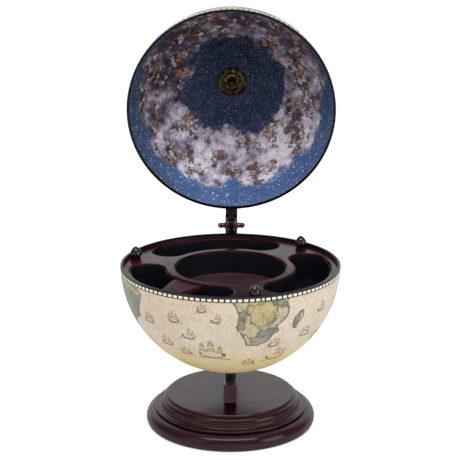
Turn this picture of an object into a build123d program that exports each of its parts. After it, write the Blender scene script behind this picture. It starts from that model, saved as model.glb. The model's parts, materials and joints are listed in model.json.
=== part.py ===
"""Tabletop globe bar: a hollow globe on a turned wooden foot, opened at its equator.

The lower half of the globe is a bowl with a fitted bar tray. It turns on a bolt that stands in
the lower arm. The upper half is a dome that turns on the upper arm, and the two arms are joined
behind the globe by a knuckle hinge with a brass pin. The model stands open.

Millimetres, +Z up. The origin is on the table under the middle of the foot, the hinge is at +Y
and the front of the bar looks along -Y.
"""

import os
from math import asin, cos, degrees, radians, sin, sqrt

from build123d import *

# --- Globe ---------------------------------------------------------------------------------
globe_radius = 165.0  # over the printed paper
paper_thickness = 0.4  # printed paper, glued on outside the moulded shells
shell_wall = 3.0
rim_height = 2.6  # black edging on the rim of each half
rim_gap = 0.6  # between the two rims when the globe is shut
band_width = 8.4  # equator tape, measured from the rim
band_thickness = 0.25
band_edge = 0.3  # bare edging above the tape

# --- Clearances ----------------------------------------------------------------------------
glue_line = 0.1
running_gap = 0.3  # between faces that turn past each other
running_fit = 0.08  # radial, a bolt or a pin in its hole
drop_in_gap = 0.3  # a liner in its opening, or the tray in the bowl

# --- Arms ----------------------------------------------------------------------------------
arm_gap = 18.0  # between the globe and its arms
arm_depth = 26.0
arm_width = 19.2
arm_flat = 3.0  # taken off the lower arm where it stands on the foot
arm_rounding = 1.0
lower_overhang = 22.0  # degrees that the lower arm runs on past the pole, to the front
upper_overhang = 7.0

# --- Foot ----------------------------------------------------------------------------------
felt_radius = 120.0
felt_thickness = 1.5
foot_height = 46.0
torus_radius = 14.0  # large half-round at the bottom of the foot
torus_reach = 129.3  # widest radius of the foot
torus_middle = 9.0  # height of the middle of the large half-round
bead_radius = 2.0
bead_reach = 116.0
quirk_height = 1.0  # flat between two mouldings
cove_radius = 4.6
fillet_reach = 106.5  # square fillet over the cove
fillet_height = 1.7
ovolo_radius = 8.0
ovolo_reach = 105.0
disc_edge_bevel = 0.8

# --- Hinge ---------------------------------------------------------------------------------
opening_angle = 82.2  # from shut to the stop
pivot_rise = 4.7  # pin above the bowl's rim
pin_radius = 2.5
tongue_width = 8.4
knuckle_gap = 0.4  # round a knuckle, and beside the tongue
stop_gap = 0.3  # upper arm over its seat
washer_radius = 5.6
washer_thickness = 1.0
nut_collar_radius = 4.2
nut_collar_length = 5.0
nut_ball_radius = 4.4

# --- Pole bolts ----------------------------------------------------------------------------
bolt_radius = 4.0
bush_radius = 7.8
bush_seat_depth = 0.3  # spot face in the arm
bolt_head_radius = 7.0
bolt_head_height = 5.0
hub_radius = 26.0
hub_thickness = 12.0
hub_washer_radius = 11.0
hub_washer_thickness = 1.5
hub_nut_radius = 7.0
hub_nut_height = 6.5
bolt_tail = 2.0
cap_radius = 8.0  # brass cap over the arm at the dome's pole
cap_height = 6.0
cap_rounding = 3.0

# --- Rosette in the dome -------------------------------------------------------------------
rosette_radius = 25.0
rosette_rim_width = 3.0
rosette_rim_height = 3.0
rosette_floor = 1.6
ring_radius = 16.5
ring_width = 2.6
ring_height = 4.4
dome_nut_radius = 8.6
dome_nut_collar = 4.0
dome_nut_height = 11.0
dome_nut_bore = 7.0

# --- Bar tray ------------------------------------------------------------------------------
tray_drop = 5.4  # tray's top below the rim
tray_thickness = 9.0
edge_rounding = 2.0  # on the openings of the tray
tray_margin = 10.0  # between the pockets and the bowl's wall
pocket_width = 55.5
web_width = 12.0  # between the pockets and the well
pocket_sweep = 73.0  # degrees, between the middles of the pocket's round ends
pocket_names = ("back", "left", "right")
back_pocket_azimuth = 103.5
liner_wall = 1.5
liner_drop = 3.0  # liners start this far below the tray's top
pocket_depth = 41.0
well_depth = 35.1
well_floor_thickness = 5.0
well_floor_bevel = 1.2
ledge_height = 10.0
ledge_gap = 1.5  # between the pockets' liners and the ledge

# --- Block in the left pocket ----------------------------------------------------------------
block_start_azimuth = 200.0
block_end_azimuth = 241.9
block_end_skew = 12.5  # end's turn from the line to the middle of the tray
block_crest_azimuth = 223.6
block_crest_skew = 30.0
block_drop = 1.8  # block's top below the tray's top
block_slope_angle = 40.0
block_crest_rounding = 22.0
block_edge_rounding = 1.5

# --- Finials -------------------------------------------------------------------------------
finial_radius = 8.8
finial_foot_radius = 6.5
finial_height = 18.8
finial_waist = 6.0  # height of the widest place
finial_tip_rounding = 1.0
dowel_radius = 3.0
dowel_length = 7.0

# --- Screws in the foot ----------------------------------------------------------------------
screw_spread = 22.0  # from the middle of the arm's seat
screw_radius = 2.4
screw_head_radius = 5.0
screw_head_height = 3.5
screw_length = 40.0
screw_bite = 16.0  # length of screw in the arm
screw_sink_radius = 6.5

# --- Worked out ----------------------------------------------------------------------------
shell_radius = globe_radius - paper_thickness
hollow_radius = shell_radius - shell_wall
arm_inner = globe_radius + arm_gap  # radii about the middle of the globe
arm_outer = arm_inner + arm_depth
arm_middle = arm_inner + arm_depth / 2
arm_half = arm_depth / 2
seat_depth = arm_outer - arm_flat  # arm's flat seat, below the middle of the globe
equator_height = foot_height + seat_depth  # bowl's rim above the table
pivot_y = sqrt(arm_middle**2 - pivot_rise**2)
pivot_tilt = degrees(asin(pivot_rise / arm_middle))
swing = radians(opening_angle)
slot_width = tongue_width + 2 * knuckle_gap
bush_seat = arm_inner + bush_seat_depth
hole_radius = bolt_radius + running_fit
far = 2 * arm_outer  # longer than any piece, for cuts

# Each half of the globe has a frame at its middle, with Z through its pole.
south = Plane(origin=(0, 0, equator_height), x_dir=(1, 0, 0), z_dir=(0, 0, -1))
open_y = pivot_y - pivot_y * cos(swing) + (rim_gap - pivot_rise) * sin(swing)
open_z = equator_height + pivot_rise + pivot_y * sin(swing) + (rim_gap - pivot_rise) * cos(swing)
north = Plane(origin=(0, open_y, open_z), x_dir=(1, 0, 0), z_dir=(0, sin(swing), cos(swing)))
# The arms are drawn in the upright plane through the hinge, X to the back and Y up.
lower_side = Plane(origin=(0, 0, equator_height), x_dir=(0, 1, 0), z_dir=(1, 0, 0))
upper_side = Plane(origin=north.origin, x_dir=north.y_dir, z_dir=(1, 0, 0))
tray_top = equator_height - tray_drop
tray_reach = hollow_radius - tray_margin  # to the pockets' outer walls
pocket_middle_radius = tray_reach - pocket_width / 2
well_radius = tray_reach - pocket_width - web_width


def section(frame):
    """Plane through a frame's axis, with its X outwards and its Y along the axis."""
    return Plane(origin=frame.origin, x_dir=frame.x_dir, z_dir=-frame.y_dir)


def axis_of(frame):
    """Axis that a frame's pieces are turned about."""
    return Axis(frame.origin, frame.z_dir)


def on_sphere(radius, across):
    """Height of a sphere's surface at a distance from its axis."""
    return sqrt(radius**2 - across**2)


def pocket_azimuth(index):
    """Middle of a pocket, counted from the one at the back."""
    return back_pocket_azimuth + 360.0 / len(pocket_names) * index


def finial_azimuth(index):
    """Middle of the web between two pockets, counted from the one after the back pocket."""
    return pocket_azimuth(index + 0.5)


def save(builder, name):
    """Labels a finished piece and writes it."""
    builder.part.label = name
    export_step(builder.part, f"parts/{name}.step")


os.makedirs("parts", exist_ok=True)


# --- Foot ----------------------------------------------------------------------------------
def foot_profile():
    """Half section of the turned foot: torus, quirk, bead, cove, fillet, ovolo and top disc."""
    torus_centre = torus_reach - torus_radius
    torus_start = -degrees(asin((torus_middle - felt_thickness) / torus_radius))
    torus_top = torus_middle + torus_radius
    bead_neck = bead_reach - bead_radius
    bead_middle = torus_top + quirk_height + bead_radius
    cove_bottom = bead_middle + bead_radius
    cove_top = cove_bottom + cove_radius
    ovolo_bottom = cove_top + fillet_height
    disc_radius = ovolo_reach - ovolo_radius
    with BuildSketch() as profile:
        with BuildLine():
            torus = CenterArc((torus_centre, torus_middle), torus_radius, torus_start, 90 - torus_start)
            Polyline((0, foot_height), (0, felt_thickness), torus @ 0)
            bead = CenterArc((bead_neck, bead_middle), bead_radius, -90, 180)
            Polyline(torus @ 1, (bead_neck, torus_top), bead @ 0)
            cove = CenterArc((fillet_reach + cove_radius, cove_top), cove_radius, 270, -90)
            Line(bead @ 1, cove @ 0)
            ovolo = CenterArc((disc_radius, ovolo_bottom), ovolo_radius, 0, 90)
            Polyline(cove @ 1, (fillet_reach, ovolo_bottom), ovolo @ 0)
            Polyline(ovolo @ 1, (disc_radius, foot_height), (0, foot_height))
        make_face()
        corner = profile.vertices().sort_by_distance((disc_radius, foot_height))[0]
        chamfer(corner, disc_edge_bevel)
    return profile.sketch


with BuildPart() as foot:
    with BuildSketch(section(Plane.XY)):
        add(foot_profile())
    revolve(axis=Axis.Z)
    with Locations((0, screw_spread, foot_height), (0, -screw_spread, foot_height)):
        Hole(screw_radius + glue_line)
    with BuildSketch(Plane.XY.offset(felt_thickness)):
        with Locations((0, screw_spread), (0, -screw_spread)):
            Circle(screw_sink_radius)
    extrude(amount=foot_height - (screw_length - screw_bite) - felt_thickness, mode=Mode.SUBTRACT)
save(foot, "foot")

with BuildPart() as felt_pad:
    with BuildSketch():
        Circle(felt_radius)
    extrude(amount=felt_thickness)
save(felt_pad, "felt_pad")

with BuildPart() as arm_screws:
    with BuildSketch(Plane.XY.offset(foot_height + screw_bite - screw_length - screw_head_height)):
        with Locations((0, screw_spread), (0, -screw_spread)):
            Circle(screw_head_radius)
    extrude(amount=screw_head_height)
    with BuildSketch(Plane.XY.offset(foot_height + screw_bite - screw_length)):
        with Locations((0, screw_spread), (0, -screw_spread)):
            Circle(screw_radius)
    extrude(amount=screw_length)
save(arm_screws, "arm_screws")


# --- Arms ----------------------------------------------------------------------------------
def ring_sector(inner_radius, outer_radius, start, stop):
    """Part of a flat ring between two angles."""
    with BuildSketch() as sector:
        with BuildLine():
            inner = CenterArc((0, 0), inner_radius, start, stop - start)
            outer = CenterArc((0, 0), outer_radius, start, stop - start)
            Line(inner @ 0, outer @ 0)
            Line(inner @ 1, outer @ 1)
        make_face()
    return sector.sketch


def above_seat(width):
    """Rectangle over the seat on which the open arm rests, as wide as given to its left."""
    tilt = 90 - opening_angle + pivot_tilt
    with BuildSketch() as area:
        with Locations(Location((pivot_y, pivot_rise, 0), (0, 0, tilt))):
            with Locations((-width, -arm_half - stop_gap)):
                Rectangle(width + arm_outer, arm_outer, align=(Align.MIN, Align.MIN))
    return area.sketch


with BuildPart() as lower_arm:
    with BuildSketch(lower_side):
        add(ring_sector(arm_inner, arm_outer, -90 - lower_overhang, pivot_tilt))
    extrude(amount=arm_width / 2, both=True)
    fillet(lower_arm.edges().filter_by(GeomType.CIRCLE), arm_rounding)
    # Flat seat on the foot.
    with BuildSketch(Plane.XY.offset(foot_height)):
        Rectangle(far, far)
    extrude(amount=-arm_outer, mode=Mode.SUBTRACT)
    # Fork of the hinge: a relief for the open arm, a slot for its tongue, then round cheeks.
    with BuildSketch(lower_side):
        add(above_seat(0))
    extrude(amount=arm_width, both=True, mode=Mode.SUBTRACT)
    with BuildSketch(lower_side):
        add(above_seat(arm_outer - arm_inner))
    extrude(amount=slot_width / 2, both=True, mode=Mode.SUBTRACT)
    for side in (1, -1):
        with BuildSketch(lower_side.offset(side * slot_width / 2)):
            with Locations((pivot_y, pivot_rise)):
                Circle(arm_half)
        extrude(amount=side * (arm_width - slot_width) / 2)
    with BuildSketch(lower_side):
        with Locations((pivot_y, pivot_rise)):
            Circle(pin_radius + running_fit)
    extrude(amount=arm_width, both=True, mode=Mode.SUBTRACT)
    # Hole for the bolt, its sunk head and the spot face of the bush.
    with BuildSketch(south):
        Circle(hole_radius)
    extrude(amount=far, mode=Mode.SUBTRACT)
    with BuildSketch(south.offset(seat_depth - bolt_head_height - glue_line)):
        Circle(bolt_head_radius + glue_line)
    extrude(amount=far, mode=Mode.SUBTRACT)
    with BuildSketch(south.offset(bush_seat)):
        Circle(bush_radius + glue_line)
    extrude(amount=-arm_half, mode=Mode.SUBTRACT)
    # Pilot holes for the two screws.
    with BuildSketch(Plane.XY.offset(foot_height)):
        with Locations((0, screw_spread), (0, -screw_spread)):
            Circle(screw_radius + glue_line)
    extrude(amount=screw_bite + glue_line, mode=Mode.SUBTRACT)
save(lower_arm, "lower_arm")

upper_pivot = (pivot_y, pivot_rise - rim_gap)
knuckle_angle = degrees(asin(upper_pivot[1] / arm_middle))
with BuildPart() as upper_arm:
    with BuildSketch(upper_side):
        with BuildLine():
            sweep = 90 + upper_overhang - knuckle_angle
            inner = CenterArc((0, 0), arm_inner, knuckle_angle, sweep)
            outer = CenterArc((0, 0), arm_outer, knuckle_angle, sweep)
            Line(inner @ 1, outer @ 1)
            TangentArc(inner @ 0, outer @ 0, tangent=-(inner % 0))
        make_face()
    extrude(amount=arm_width / 2, both=True)
    fillet(upper_arm.edges().filter_by(GeomType.CIRCLE), arm_rounding)
    # Square shoulders clear the cheeks of the fork and leave the tongue with its round knuckle.
    for side in (1, -1):
        with BuildSketch(upper_side.offset(side * tongue_width / 2)):
            with Locations(Location((*upper_pivot, 0), (0, 0, knuckle_angle))):
                Rectangle(far, 2 * (arm_half + knuckle_gap))
        extrude(amount=side * arm_width, mode=Mode.SUBTRACT)
    with BuildSketch(upper_side):
        with Locations(upper_pivot):
            Circle(pin_radius + running_fit)
    extrude(amount=arm_width, both=True, mode=Mode.SUBTRACT)
    with BuildSketch(north):
        Circle(hole_radius)
    extrude(amount=far, mode=Mode.SUBTRACT)
    with BuildSketch(north.offset(bush_seat)):
        Circle(bush_radius + glue_line)
    extrude(amount=-arm_half, mode=Mode.SUBTRACT)
save(upper_arm, "upper_arm")


# --- Hinge pin with its washers and nuts ---------------------------------------------------
pin_side = Plane(origin=(0, pivot_y, equator_height + pivot_rise), x_dir=(0, 1, 0), z_dir=(1, 0, 0))
nut_start = arm_width / 2 + washer_thickness
nut_bore = pin_radius + glue_line

with BuildPart() as hinge_pin:
    with BuildSketch(pin_side):
        Circle(pin_radius)
    extrude(amount=nut_start + nut_collar_length, both=True)
save(hinge_pin, "hinge_pin")

with BuildPart() as hinge_washers:
    for side in (1, -1):
        with BuildSketch(pin_side.offset(side * arm_width / 2)):
            Circle(washer_radius)
            Circle(nut_bore, mode=Mode.SUBTRACT)
        extrude(amount=side * washer_thickness)
save(hinge_washers, "hinge_washers")

with BuildPart() as hinge_nuts:
    for side in (1, -1):
        outwards = Plane(pin_side.offset(side * nut_start).origin, x_dir=(0, 1, 0), z_dir=(side, 0, 0))
        with BuildSketch(section(outwards)):
            Rectangle(nut_collar_radius, nut_collar_length, align=Align.MIN)
            with Locations((0, nut_collar_length + nut_ball_radius / 2)):
                Circle(nut_ball_radius)
            Rectangle(nut_bore, nut_collar_length + glue_line, align=Align.MIN, mode=Mode.SUBTRACT)
            Rectangle(far, far, align=(Align.MAX, Align.CENTER), mode=Mode.SUBTRACT)
        revolve(axis=axis_of(outwards))
save(hinge_nuts, "hinge_nuts")


# --- The two halves of the globe -----------------------------------------------------------
def between_spheres(outer, inner, start, stop, bore=0.0, reach=far):
    """Half section of what lies between two spheres, two heights and two distances from the axis."""
    with BuildSketch() as area:
        Circle(outer)
        if inner:
            Circle(inner, mode=Mode.SUBTRACT)
        with Locations((bore, start)):
            Rectangle(reach - bore, stop - start, align=Align.MIN, mode=Mode.INTERSECT)
    return area.sketch


def turned(frame, profile):
    """Piece turned about a frame's axis from its half section."""
    with BuildPart() as piece:
        with BuildSketch(section(frame)):
            add(profile)
        revolve(axis=axis_of(frame))
    return piece


for half, frame in {"bowl": south, "dome": north}.items():
    shell = turned(frame, between_spheres(shell_radius, hollow_radius, rim_height, far, hole_radius))
    save(shell, f"{half}_shell")

    with BuildPart() as rim:
        with BuildSketch(frame):
            Circle(globe_radius)
            Circle(hollow_radius - glue_line, mode=Mode.SUBTRACT)
        extrude(amount=rim_height)
    save(rim, f"{half}_rim")

    band_inner = globe_radius + glue_line / 2
    band_outer = band_inner + band_thickness
    band = turned(frame, between_spheres(band_outer, band_inner, band_edge, band_width))
    save(band, f"{half}_band")


# --- Hardware at the bowl's pole -----------------------------------------------------------
def disc_ring(frame, start, height, radius, bore):
    """Turned disc or ring along a frame's axis, from a height above the globe's middle."""
    with BuildPart() as ring:
        with BuildSketch(frame.offset(start)):
            Circle(radius)
            Circle(bore, mode=Mode.SUBTRACT)
        extrude(amount=height)
    return ring


bush_start = globe_radius + running_gap
hub_top = hollow_radius - hub_thickness
washer_start = hub_top - running_gap - hub_washer_thickness
hub_nut_start = washer_start - hub_nut_height
bolt_head_start = seat_depth - bolt_head_height

hub = between_spheres(hollow_radius - glue_line, 0, hub_top, far, hole_radius, hub_radius)
save(turned(south, hub), "bowl_hub")
save(disc_ring(south, bush_start, bush_seat - bush_start, bush_radius, hole_radius), "lower_bush")
save(disc_ring(south, washer_start, hub_washer_thickness, hub_washer_radius, hole_radius), "hub_washer")

with BuildPart() as hub_nut:
    with BuildSketch(south.offset(hub_nut_start)):
        RegularPolygon(hub_nut_radius, 6, major_radius=False)
        Circle(bolt_radius + glue_line, mode=Mode.SUBTRACT)
    extrude(amount=hub_nut_height)
save(hub_nut, "hub_nut")

with BuildPart() as lower_bolt:
    with BuildSketch(south.offset(bolt_head_start)):
        Circle(bolt_head_radius)
    extrude(amount=bolt_head_height - glue_line)
    with BuildSketch(south.offset(bolt_head_start)):
        Circle(bolt_radius)
    extrude(amount=hub_nut_start - bolt_tail - bolt_head_start)
save(lower_bolt, "lower_bolt")


# --- Hardware at the dome's pole -----------------------------------------------------------
rosette_back = on_sphere(hollow_radius - paper_thickness - glue_line, rosette_radius)
rosette_face = rosette_back - rosette_floor
dome_nut_seat = rosette_face - running_gap


def rosette_profile():
    """Half section of the rosette: a disc with a beaded rim and a beaded ring on its face."""
    with BuildSketch() as profile:
        with Locations((hole_radius, rosette_face)):
            Rectangle(rosette_radius - hole_radius, rosette_floor, align=Align.MIN)
        rim_bead = (rosette_radius, rosette_rim_width, rosette_rim_height)
        ring_bead = (ring_radius, ring_width, ring_height)
        for reach, width, height in (rim_bead, ring_bead):
            with Locations((reach - width / 2, rosette_back - height + width / 2)):
                Circle(width / 2)
                Rectangle(width, height - width / 2, align=(Align.CENTER, Align.MIN))
    return profile.sketch


save(turned(north, rosette_profile()), "rosette")
save(disc_ring(north, bush_start, bush_seat - bush_start, bush_radius, hole_radius), "upper_bush")

with BuildPart() as dome_nut:
    with BuildSketch(section(north)):
        with Locations((0, dome_nut_seat - dome_nut_collar)):
            Rectangle(dome_nut_radius, dome_nut_collar, align=Align.MIN)
            Circle(dome_nut_height - dome_nut_collar)
        with Locations((0, dome_nut_seat)):
            Rectangle(far, far, align=(Align.CENTER, Align.MIN), mode=Mode.SUBTRACT)
            Rectangle(2 * (bolt_radius + glue_line), 2 * dome_nut_bore, mode=Mode.SUBTRACT)
            Rectangle(far, far, align=(Align.MAX, Align.CENTER), mode=Mode.SUBTRACT)
    revolve(axis=axis_of(north))
save(dome_nut, "dome_nut")

with BuildPart() as dome_bolt:
    bolt_start = dome_nut_seat - dome_nut_bore + glue_line
    with BuildSketch(north.offset(bolt_start)):
        Circle(bolt_radius)
    extrude(amount=arm_outer + glue_line - bolt_start)
    with BuildSketch(north.offset(arm_outer + glue_line)):
        Circle(cap_radius)
    extrude(amount=cap_height)
    fillet(dome_bolt.edges().sort_by(axis_of(north))[-1], cap_rounding)
save(dome_bolt, "dome_bolt")


# --- Bar tray ------------------------------------------------------------------------------
def pocket_outline(index, inset):
    """A pocket seen from above: a slot bent round the middle of the tray, less an inset."""
    with BuildLine() as middle:
        CenterArc((0, 0), pocket_middle_radius, pocket_azimuth(index) - pocket_sweep / 2, pocket_sweep)
    with BuildSketch() as outline:
        SlotArc(middle.edge(), pocket_width - 2 * inset)
    return outline.sketch


ledge_start = tray_drop + tray_thickness
ledge_bore = tray_reach + ledge_gap
ledge = between_spheres(hollow_radius - glue_line, 0, ledge_start, ledge_start + ledge_height, ledge_bore)
save(turned(south, ledge), "tray_ledge")

with BuildPart() as tray_board:
    with BuildSketch(section(south)):
        add(between_spheres(hollow_radius - drop_in_gap, 0, tray_drop, ledge_start, well_radius))
    revolve(axis=axis_of(south))
    with BuildSketch(Plane.XY.offset(tray_top)):
        for index in range(len(pocket_names)):
            add(pocket_outline(index, 0))
    extrude(amount=-tray_thickness, mode=Mode.SUBTRACT)
    top = tray_board.faces().sort_by(Axis.Z)[-1]
    fillet([edge for opening in top.inner_wires() for edge in opening.edges()], edge_rounding)
    with BuildSketch(Plane.XY.offset(tray_top)):
        with PolarLocations(tray_reach, len(pocket_names), finial_azimuth(0)):
            Circle(dowel_radius + glue_line)
    extrude(amount=-(dowel_length + glue_line), mode=Mode.SUBTRACT)
save(tray_board, "tray_board")

liner_top = tray_top - liner_drop
pocket_bottom = tray_top - pocket_depth
for index, name in enumerate(pocket_names):
    with BuildPart() as liner:
        with BuildSketch(Plane.XY.offset(pocket_bottom)):
            add(pocket_outline(index, drop_in_gap))
        extrude(amount=liner_top - pocket_bottom)
        offset(amount=-liner_wall, openings=liner.faces().sort_by(Axis.Z)[-1])
    save(liner, f"liner_{name}")

well_bottom = tray_top - well_depth - well_floor_thickness - liner_wall
with BuildPart() as well_liner:
    with BuildSketch(Plane.XY.offset(well_bottom)):
        Circle(well_radius - drop_in_gap)
    extrude(amount=liner_top - well_bottom)
    offset(amount=-liner_wall, openings=well_liner.faces().sort_by(Axis.Z)[-1])
save(well_liner, "well_liner")

with BuildPart() as well_floor:
    with BuildSketch(Plane.XY.offset(well_bottom + liner_wall)):
        Circle(well_radius - liner_wall - 2 * drop_in_gap)
    extrude(amount=well_floor_thickness)
    chamfer(well_floor.edges().sort_by(Axis.Z)[-1], well_floor_bevel)
save(well_floor, "well_floor")


# --- Block in the left pocket ----------------------------------------------------------------
block_inset = liner_wall + 2 * drop_in_gap
block_inner = pocket_middle_radius - pocket_width / 2 + block_inset
block_outer = pocket_middle_radius + pocket_width / 2 - block_inset
block_bottom = pocket_bottom + liner_wall
block_top = tray_top - block_drop


def across_block(azimuth, skew):
    """Place on the block's top at an azimuth, with its X turned from the line to the middle."""
    on_middle = Location((0, 0, block_top), (0, 0, azimuth)) * Location((pocket_middle_radius, 0, 0))
    return on_middle * Location((0, 0, 0), (0, 0, skew))


slope = Plane(across_block(block_crest_azimuth, block_crest_skew) * Location((0, 0, 0), (block_slope_angle, 0, 0)))
block_end = Plane(across_block(block_end_azimuth, -block_end_skew) * Location((0, 0, 0), (-90, 0, 0)))

with BuildPart() as pocket_block:
    with BuildSketch(Plane.XY.offset(block_bottom)):
        add(ring_sector(block_inner, block_outer, block_start_azimuth, block_end_azimuth + block_end_skew))
    extrude(amount=block_top - block_bottom)
    split(bisect_by=slope, keep=Keep.BOTTOM)
    split(bisect_by=block_end, keep=Keep.BOTTOM)
    top = pocket_block.faces().sort_by(Axis.Z)[-1]
    crest_edge, end_edge = top.edges().filter_by(GeomType.LINE).sort_by_distance(slope.origin)
    fillet(crest_edge, block_crest_rounding)
    fillet(pocket_block.edges().sort_by_distance(end_edge.center())[0], block_edge_rounding)
save(pocket_block, "pocket_block")


# --- Finials -------------------------------------------------------------------------------
def finial_profile():
    """Half section of a finial: a bud with a rounded tip, on its dowel."""
    with BuildSketch() as profile:
        with BuildLine():
            widest = (finial_radius, finial_waist)
            TangentArc(widest, (0, finial_height), tangent=(0, 1))
            TangentArc(widest, (finial_foot_radius, 0), tangent=(0, -1))
            Polyline((0, finial_height), (0, 0), (finial_foot_radius, 0))
        make_face()
        mirror(about=Plane.YZ)
        fillet(profile.vertices().sort_by(Axis.Y)[-1], finial_tip_rounding)
        split(bisect_by=Plane.YZ)
        with Locations((0, -dowel_length)):
            Rectangle(dowel_radius, dowel_length, align=Align.MIN)
    return profile.sketch


finial = turned(Plane.XY, finial_profile()).part
with BuildPart() as finials:
    with Locations(Plane.XY.offset(tray_top)):
        with PolarLocations(tray_reach, len(pocket_names), finial_azimuth(0)):
            add(finial)
save(finials, "finials")
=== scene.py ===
"""Looks of the tabletop globe bar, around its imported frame.

The printed chart on both halves of the globe, its coasts and ships, and the night sky inside the dome
are thin pieces of their own. Every other piece is a node of the frame with a finish of its own.
Metres, +Z up, the front of the bar looks along -Y.
"""

import json
from math import cos, degrees, pi, radians, sin

import bmesh
import bpy
from mathutils import Matrix, Vector, noise


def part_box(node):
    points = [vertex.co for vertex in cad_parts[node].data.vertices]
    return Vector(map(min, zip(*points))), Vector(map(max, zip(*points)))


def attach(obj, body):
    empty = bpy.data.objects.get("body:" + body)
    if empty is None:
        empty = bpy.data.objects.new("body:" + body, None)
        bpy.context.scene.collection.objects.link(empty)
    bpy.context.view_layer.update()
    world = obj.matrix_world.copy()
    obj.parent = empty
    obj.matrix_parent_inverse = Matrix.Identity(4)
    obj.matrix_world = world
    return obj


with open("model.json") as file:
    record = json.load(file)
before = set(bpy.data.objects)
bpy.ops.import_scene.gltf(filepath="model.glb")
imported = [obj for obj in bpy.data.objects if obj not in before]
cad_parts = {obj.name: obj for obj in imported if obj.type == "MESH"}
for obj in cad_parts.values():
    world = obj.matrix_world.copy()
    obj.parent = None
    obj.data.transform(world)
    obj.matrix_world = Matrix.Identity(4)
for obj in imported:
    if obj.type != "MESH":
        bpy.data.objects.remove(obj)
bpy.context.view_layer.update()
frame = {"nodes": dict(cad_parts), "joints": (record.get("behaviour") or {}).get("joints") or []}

# --- Measures ------------------------------------------------------------------------------------
globe_radius = 0.16498  # over the printed paper
paper_thickness = 0.0003
ink_radius = 0.16504  # coasts and ships lie on the paper
ink_thickness = 0.00003
lining_radius = 0.16155  # printed lining, glued inside the dome
lining_thickness = 0.0003
rim_height = 0.00265  # the papers start over the black edging
bush_clearance = 0.0085  # the papers are cut out round the pole bolts
paper_turns, paper_steps = 180, 60  # faces of a paper, round the globe and from rim to pole
square_pitch = 2.982  # degrees from square to square on the tape
square_share = 0.69  # of the pitch
square_start = 2.02  # middle of the first square past the tape's seam
square_near, square_far = 0.003325, 0.007125  # edges of the squares, from the plane of the rims
print_blur = 0.000075  # softness of a printed edge
tape_seam = 287.15  # azimuth at which the tape's ends meet
chart_turn = 261.0  # from a chart's longitude to the azimuth on the globe
chart_squash = 0.86  # share of its latitude at which a place is drawn
chart_pitch = 15.0  # degrees between the chart's ruled lines
coast_seed = 3  # for the noise that bends the coasts
coast_bends = ((0.33, 1.1), (1.1, 0.5))  # pitch and reach, in degrees, of the wander of a coast
shore_steps = ((0.5, 0.4), (1.0, 1.0))  # shore value, and the degrees to it from the step before
land_margin = 2.6  # degrees from the rim at which the lands end, under the tape
land_grid = 2.0  # degrees between the cuts that let a land follow the globe
land_reach = 4  # a half of the globe shows the lands that reach this far into it, in degrees
ship_scale = 3.3  # degrees of a ship's half length
ship_lift = 0.005  # metres for each unit of height in a ship's layers
room_light = 0.64  # strength of the studio's light from all round
floor_glow = 0.5  # light that the floor gives the camera alone

spin = {joint["name"]: joint for joint in frame["joints"]}
bowl_middle = Vector((0, 0, spin["bowl_spin"]["pos_m"][2]))
dome_middle = Vector(spin["dome_spin"]["pos_m"])
dome_pole = Vector(spin["dome_spin"]["axis"]).normalized()

# Each half has an upright place of its own, with Z through the poles and the rim at z = 0.
bowl_place = Matrix.Translation(bowl_middle)
across = Vector((1, 0, 0))
dome_turn = Matrix((across, dome_pole.cross(across), dome_pole)).transposed()
dome_place = Matrix.Translation(dome_middle) @ dome_turn.to_4x4()


# --- Node work -----------------------------------------------------------------------------------
def paint(red, green, blue):
    """Linear colour for a display colour of 0 to 255."""
    shares = [value / 255 for value in (red, green, blue)]
    return (*(s / 12.92 if s <= 0.04045 else ((s + 0.055) / 1.055) ** 2.4 for s in shares), 1.0)


def add(tree, kind, sockets=None, **settings):
    """Adds a node, sets it, and joins or sets its sockets."""
    node = tree.nodes.new("ShaderNode" + kind)
    for name, value in settings.items():
        setattr(node, name, value)
    for key, value in (sockets or {}).items():
        if isinstance(value, bpy.types.NodeSocket):
            tree.links.new(value, node.inputs[key])
        else:
            node.inputs[key].default_value = value
    return node


def sums(tree, operation, first, second=0.0, third=None):
    """One step of arithmetic."""
    sockets = {0: first, 1: second}
    if third is not None:
        sockets[2] = third
    return add(tree, "Math", sockets, operation=operation).outputs[0]


def blend(tree, factor, first, second):
    """Two colours mixed by a factor."""
    return add(tree, "Mix", {0: factor, 6: first, 7: second}, data_type="RGBA").outputs[2]


def slide(tree, value, low, high, to_low=0.0, to_high=1.0, soft=True):
    """Carries a value from one range into another, and holds it there."""
    kind = "SMOOTHSTEP" if soft else "LINEAR"
    sockets = {0: value, 1: low, 2: high, 3: to_low, 4: to_high}
    return add(tree, "MapRange", sockets, interpolation_type=kind, clamp=True).outputs[0]


def shades(tree, value, stops, steps="LINEAR"):
    """Colour ramp."""
    node = add(tree, "ValToRGB", {0: value})
    node.color_ramp.interpolation = steps
    points = node.color_ramp.elements
    while len(points) < len(stops):
        points.new(0.5)
    for point, (place, colour) in zip(points, stops):
        point.position, point.color = place, colour
    return node.outputs[0]


def parts_of(tree, vector):
    """X, Y and Z of a vector."""
    return add(tree, "SeparateXYZ", {0: vector}).outputs


def grains(tree, vector, size, detail=2.0, rough=0.5, twist=0.0):
    """Soft noise whose lumps are about the given size, in metres."""
    sockets = {"Vector": vector, "Scale": 1 / size, "Detail": detail, "Roughness": rough}
    return add(tree, "TexNoise", {**sockets, "Distortion": twist}, normalize=True).outputs[0]


def cells(tree, vector, size, feature="F1"):
    """Distance and colour of cells about the given size, in metres."""
    sockets = {"Vector": vector, "Scale": 1 / size}
    return add(tree, "TexVoronoi", sockets, feature=feature).outputs


def bumps(tree, height, depth):
    """Relief for a shader's normal. The depth is in metres."""
    return add(tree, "Bump", {"Height": height, "Distance": depth, "Strength": 1.0}).outputs[0]


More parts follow.
